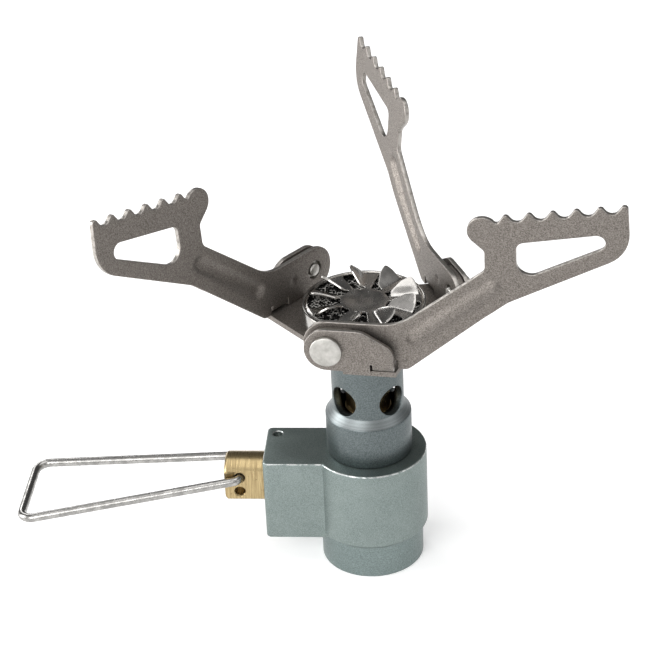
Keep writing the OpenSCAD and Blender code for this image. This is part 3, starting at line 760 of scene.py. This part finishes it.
def tube_mesh():
    """The tube as one closed skin: plain rings, and four patches with a round hole each."""
    side = 16                       # points along each side of a patch
    ring = 4 * side
    soft = ((0.0, 0.09), (0.03, 0.03), (0.1, 0.0))      # a hole's rounded rim: depth, and how much wider
    low, high = BAND
    points, faces = [], []

    def ring_at(r, z):
        """A plain ring of points."""
        start = len(points)
        for k in range(ring):
            a = math.radians(HOLE_DEG - 45) + 2 * math.pi * k / ring
            points.append((r * math.cos(a), r * math.sin(a), z))
        return start

    def join(a, b, flip=False):
        """Faces between two rings."""
        for k in range(ring):
            f = (a + k, a + (k + 1) % ring, b + (k + 1) % ring, b + k)
            faces.append(f[::-1] if flip else f)

    square = [(-45 + 90 * k / side, low) for k in range(side)] + \
             [(45, low + (high - low) * k / side) for k in range(side)] + \
             [(45 - 90 * k / side, high) for k in range(side)] + \
             [(-45, high - (high - low) * k / side) for k in range(side)]
    turns = [math.atan2(z - HOLE_Z, math.radians(a) * TUBE_R) for a, z in square]

    def outline(radius, hole):
        """The hole's rim on a skin of this radius, as (degrees, height)."""
        return [(math.degrees(math.asin(hole * math.cos(t) / radius)), HOLE_Z + hole * math.sin(t))
                for t in turns]

    def patch_ring(radius, flat, centre):
        """A ring of points of one patch, from (degrees, height)."""
        start = len(points)
        for a, z in flat:
            t = math.radians(centre + a)
            points.append((radius * math.cos(t), radius * math.sin(t), z))
        return start

    def between(a, b, t):
        """The outline a share t of the way from a to b."""
        return [((1 - t) * p[0] + t * q[0], (1 - t) * p[1] + t * q[1]) for p, q in zip(a, b)]

    for hole in range(4):
        centre = HOLE_DEG + 90 * hole
        rings = []
        rim = outline(TUBE_R, HOLE_R + soft[0][1])
        for t in (1.0, 0.72, 0.45, 0.2, 0.06):
            rings.append(patch_ring(TUBE_R, between(rim, square, t), centre))
        for depth, wider in soft:
            rings.append(patch_ring(TUBE_R - depth, outline(TUBE_R - depth, HOLE_R + wider), centre))
        for t in (0.35, 0.7):
            r = TUBE_R - 0.1 - (TUBE_R - 0.1 - BORE_R) * t
            rings.append(patch_ring(r, outline(r, HOLE_R), centre))
        inner = outline(BORE_R, HOLE_R)
        rings.append(patch_ring(BORE_R, inner, centre))
        for t in (0.1, 0.4, 0.7, 1.0):
            rings.append(patch_ring(BORE_R, between(inner, square, t), centre))
        for a, b in zip(rings, rings[1:]):
            join(a, b, True)
    upper = [(TUBE_R, high), (TUBE_R, 40.0), (TUBE_R, 44.0), (TUBE_R - 0.06, 44.25),
             (TUBE_R - 0.2, 44.35), (4.5, 44.35), (4.5, 46.65), (3.4, 46.65), (3.4, 38.3), (BORE_R, 37.1),
             (BORE_R, high)]
    lower = [(BORE_R, low), (BORE_R, 21.02), (6.9, 21.02), (7.1, 21.1), (7.2, 21.3), (7.2, 25.0),
             (7.2, 28.25), (7.17, 28.38), (7.08, 28.47), (6.6, 28.98), (6.12, 29.62), (6.03, 29.74),
             (TUBE_R, low)]
    for profile in (upper, lower):
        starts = [ring_at(r, z) for r, z in profile]
        for a, b in zip(starts, starts[1:]):
            join(a, b)
    return np.array(points), faces


tube_points, tube_faces = tube_mesh()
tube = piece("mixing_tube_shell", "stove", TUBE, "anodised_tube", tube_points, tube_faces, node="mixing_tube")


def welded(obj, distance=0.004, sharp=35):
    """Joins points that meet, faces every side outwards, and marks the sharp edges."""
    bm = bmesh.new()
    bm.from_mesh(obj.data)
    bmesh.ops.remove_doubles(bm, verts=bm.verts, dist=distance * MM)
    bmesh.ops.recalc_face_normals(bm, faces=bm.faces)
    bm.to_mesh(obj.data)
    bm.free()
    obj.data.polygons.foreach_set("use_smooth", [True] * len(obj.data.polygons))
    obj.data.set_sharp_from_angle(angle=math.radians(sharp))


welded(tube)


# ---------------------------------------------------------------- valve body

def solid(name, points, faces):
    """A plain mesh for joining and cutting."""
    mesh = bpy.data.meshes.new(name)
    mesh.from_pydata((np.asarray(points, float) * MM).tolist(), [], [list(map(int, f)) for f in faces])
    obj = bpy.data.objects.new(name, mesh)
    bpy.context.scene.collection.objects.link(obj)
    welded(obj)
    return obj


def combined(obj, others):
    """obj joined with or cut by the others, which are removed."""
    for operation, other in others:
        m = obj.modifiers.new("step", "BOOLEAN")
        m.operation, m.object, m.solver = operation, other, "EXACT"
    graph = bpy.context.evaluated_depsgraph_get()
    mesh = bpy.data.meshes.new_from_object(obj.evaluated_get(graph))
    obj.modifiers.clear()
    obj.data = mesh
    for _, other in others:
        bpy.data.objects.remove(other)
    return obj


def cutter(name, r, low, high, centre=(0, 0), chamfer=0.0, count=64):
    """A round cutter along Z with a chamfer at its top."""
    over = high + 2
    outline = [(0, low), (r, low), (r, high - chamfer), (r + chamfer, high), (r + chamfer, over), (0, over)]
    points, faces = lathe(outline, count)
    points[:, 0] += centre[0]
    points[:, 1] += centre[1]
    return solid(name, points, faces)


BODY_LOW, BODY_TOP = 6.0, 21.0      # heights of the block and the round housing
BLOCK_END, BLOCK_HALF = -17.8, 5.8  # where the block ends, and half its width
HOUSING_R = 9.6
BODY_EDGE = 0.32                    # rounding of their upper edges
BORE_R_LOW = 5.56                   # inside of the collar, round the thread
COLLAR_R = 8.7


def set_up(points, heights):
    """The block's flat outline, raised to its place."""
    return np.stack([points[:, 0], points[:, 1], BODY_LOW + heights], 1)


block = rounded([(2.0, -BLOCK_HALF, 0), (2.0, BLOCK_HALF, 0), (BLOCK_END, BLOCK_HALF, 0.9),
                 (BLOCK_END, -BLOCK_HALF, 0.9)])
block_points, block_faces, _ = plate([divided(block, 3.0)], BODY_TOP - BODY_LOW, BODY_EDGE, 3.0, set_up)
body = solid("valve_body_shell", block_points, block_faces)
round_outline = [(0, BODY_LOW, 0), (8.78, BODY_LOW, 0.1), (HOUSING_R, 6.86, 0.25),
                 (HOUSING_R, BODY_TOP, BODY_EDGE), (0, BODY_TOP, 0)]
round_part = solid("round_part", *lathe(rounded(round_outline), 128))
pin_hole = cutter("pin_hole", 0.82, 11.0, BODY_TOP, (-15.9, 3.7), 0.14, 32)
jet_hole = cutter("jet_hole", 2.6, 17.0, BODY_TOP)
stem_hole = cutter("stem_hole", 4.06, 9.0, 18.0, chamfer=0.12)
stem_hole.data.transform(Matrix.Rotation(math.radians(-90), 4, "Y"))
stem_hole.data.transform(Matrix.Translation((0.0002, 0, 0.015)))
thread_hole = cutter("thread_hole", BORE_R_LOW, -3.0, 9.0)
combined(body, [("UNION", round_part), ("DIFFERENCE", pin_hole), ("DIFFERENCE", jet_hole),
                ("DIFFERENCE", stem_hole), ("DIFFERENCE", thread_hole)])
body.data.polygons.foreach_set("use_smooth", [True] * len(body.data.polygons))
body.data.set_sharp_from_angle(angle=math.radians(28))
finish_piece(body, "stove", BODY, "valve_body")

collar_outline = [(BORE_R_LOW, 0.35, 0), (5.9, 0.0, 0), (COLLAR_R, 0.0, 0.28), (COLLAR_R, 6.05, 0),
                  (BORE_R_LOW, 6.05, 0)]
collar_points, collar_faces = lathe(rounded(collar_outline), 128)
collar = piece("valve_collar", "stove", COLLAR, "anodised_body", collar_points, collar_faces, sharp=35)
welded(collar)


def thread_mesh(crest, root, pitch, low, high, count=72):
    """The ridge of an internal thread, fading out over a quarter turn at both ends."""
    total = int((high - low) / pitch * count)
    foot, flat, sunk = pitch * 0.44, pitch * 0.07, 0.03
    points, faces = [], []
    for k in range(total + 1):
        a = 2 * math.pi * k / count
        z = low + pitch * k / count
        end = min(k, total - k) / (count / 4)
        reach = root - (root - crest) * min(1.0, end)
        for r, dz in ((root + sunk, -foot), (reach, -flat), (reach, flat), (root + sunk, foot)):
            points.append((r * math.cos(a), r * math.sin(a), z + dz))
    for k in range(total):
        for j in range(4):
            n = (j + 1) % 4
            faces.append((k * 4 + j, k * 4 + n, k * 4 + 4 + n, k * 4 + 4 + j))
    faces += [(0, 1, 2, 3), tuple(total * 4 + j for j in (3, 2, 1, 0))]
    return np.array(points), faces


THREAD_PITCH = 0.907
ridge = thread_mesh(5.16, 5.53, THREAD_PITCH, 0.75, 6.5)
thread = piece("collar_thread", "stove", COLLAR, "anodised_body", *ridge)
welded(thread, 0.0005, 30)


# ---------------------------------------------------------------- wire handle

WIRE_R = 0.75
WIRE_AT = (-22.15, 16.38)           # the cross hole, along X and up
WIRE_LENGTH = 37.6
WIRE_HALF = (3.95, 8.7)             # half the loop's width at the stem and at its far end
WIRE_DROOP = math.radians(7.6)


def wire_path():
    """The handle's centre line, from one end in its cross hole round the loop to the other."""
    near, half = WIRE_HALF
    path = rounded([(0, -0.8, 0), (0, -near, 1.1), (-WIRE_LENGTH, -half, 2.2), (-WIRE_LENGTH, half, 2.2),
                    (0, near, 1.1), (0, 0.8, 0)], count=12)
    dense = [path[0]]
    for p, q in zip(path, path[1:]):
        steps = max(1, int(np.linalg.norm(q - p) / 1.5))
        dense += [p + (q - p) * k / steps for k in range(1, steps + 1)]
    c, s = math.cos(WIRE_DROOP), math.sin(WIRE_DROOP)
    return [(WIRE_AT[0] + x * c, y, WIRE_AT[1] + x * s) for x, y in dense]


wire_points, wire_faces = sweep(wire_path(), WIRE_R, 28)
piece("handle_wire", "handle", WIRE, "stainless", wire_points, wire_faces, node="wire_handle", sharp=40)


# ---------------------------------------------------------------- CAD nodes that stay

def dress(name, material, bevel=0.0):
    """A better material for a CAD node, and a fine bevel on its edges."""
    obj = nodes[name]
    obj.data.materials.clear()
    obj.data.materials.append(material)
    if bevel:
        weld = obj.modifiers.new("weld", "WELD")
        weld.merge_threshold = 0.002 * MM
        m = obj.modifiers.new("bevel", "BEVEL")
        m.width = bevel * MM
        m.segments = 2
        m.limit_method = "ANGLE"
        m.angle_limit = math.radians(35)
        m.harden_normals = False
        obj.modifiers.new("weighted", "WEIGHTED_NORMAL")


dress("bracket", TITANIUM, 0.1)
dress("valve_stem", BRASS, 0.08)
dress("jet", BRASS, 0.06)
dress("jet_washer", BRASS)
dress("depressor_pin", BRASS)
dress("inlet_filter", WIRE)
dress("retaining_pin", WIRE)
dress("canister_gasket", RUBBER)
dress("stem_seal", RUBBER)


# ---------------------------------------------------------------- stage, light and camera

def pale_floor():
    """A plain pale floor, lit a little from within so that it stays nearly white."""
    half = 3.0
    mesh = bpy.data.meshes.new("floor")
    mesh.from_pydata([(-half, -half, 0), (half, -half, 0), (half, half, 0), (-half, half, 0)], [],
                     [(0, 1, 2, 3)])
    floor = bpy.data.objects.new("floor", mesh)
    bpy.context.scene.collection.objects.link(floor)
    s = Shader("floor_pale")
    mesh.materials.append(s.done(s.mix(s.noise(40), (0.86, 0.86, 0.86), (0.9, 0.9, 0.9)), 0.9, 0.0))
    s.bsdf.inputs["Emission Color"].default_value = (1, 1, 1, 1)
    s.bsdf.inputs["Emission Strength"].default_value = 0.3


def studio_room():
    """A white room round the stove, darker towards the back."""
    world = bpy.data.worlds.new("studio")
    bpy.context.scene.world = world
    world.use_nodes = True
    tree = world.node_tree
    background = tree.nodes["Background"]
    background.inputs["Strength"].default_value = 0.6
    way = tree.nodes.new("ShaderNodeTexCoord")
    split = tree.nodes.new("ShaderNodeSeparateXYZ")
    depth = tree.nodes.new("ShaderNodeMapRange")
    for name, value in (("From Min", -0.3), ("From Max", 0.6), ("To Min", 1.0), ("To Max", 0.16)):
        depth.inputs[name].default_value = value
    tree.links.new(way.outputs["Generated"], split.inputs[0])
    tree.links.new(split.outputs["Y"], depth.inputs["Value"])
    tree.links.new(depth.outputs[0], background.inputs["Color"])


def aimed(name, place, size, power):
    """A soft rectangular light, aimed at the middle of the stove."""
    middle = Vector((0, 0, 0.035))
    light = bpy.data.lights.new(name, "AREA")
    light.shape = "RECTANGLE"
    light.size, light.size_y = size
    light.energy = power
    obj = bpy.data.objects.new(name, light)
    bpy.context.scene.collection.objects.link(obj)
    obj.location = place
    obj.rotation_euler = (middle - Vector(place)).to_track_quat("-Z", "Y").to_euler()


CAMERA_AT = (0.02108, -0.30223, 0.21914)
CAMERA_FORWARD = (-0.0800, 0.8636, -0.4978)
CAMERA_UP = (0.0018, 0.4995, 0.8663)
LENS, SENSOR = 119.2, 36            # millimetres


def view():
    """The camera, in front of the stove and above it."""
    data = bpy.data.cameras.new("camera")
    data.sensor_width = SENSOR
    data.lens = LENS
    data.clip_start = 0.01
    camera = bpy.data.objects.new("camera", data)
    bpy.context.scene.collection.objects.link(camera)
    forward = Vector(CAMERA_FORWARD).normalized()
    right = forward.cross(Vector(CAMERA_UP)).normalized()
    turn = Matrix((right, right.cross(forward), -forward)).transposed()
    camera.matrix_world = Matrix.Translation(CAMERA_AT) @ turn.to_4x4()
    bpy.context.scene.camera = camera
    bpy.context.scene.view_settings.view_transform = "Standard"


pale_floor()
studio_room()
aimed("key", (-0.22, -0.46, 0.3), (0.34, 0.34), 1.75)
aimed("side", (0.5, -0.2, 0.3), (0.3, 0.4), 0.35)
aimed("left", (-0.6, -0.02, 0.16), (0.3, 0.4), 3.2)
aimed("top", (0.0, 0.0, 0.6), (0.5, 0.5), 1.3)
aimed("rear", (-0.3, 0.45, 0.25), (0.12, 0.3), 0.5)
view()
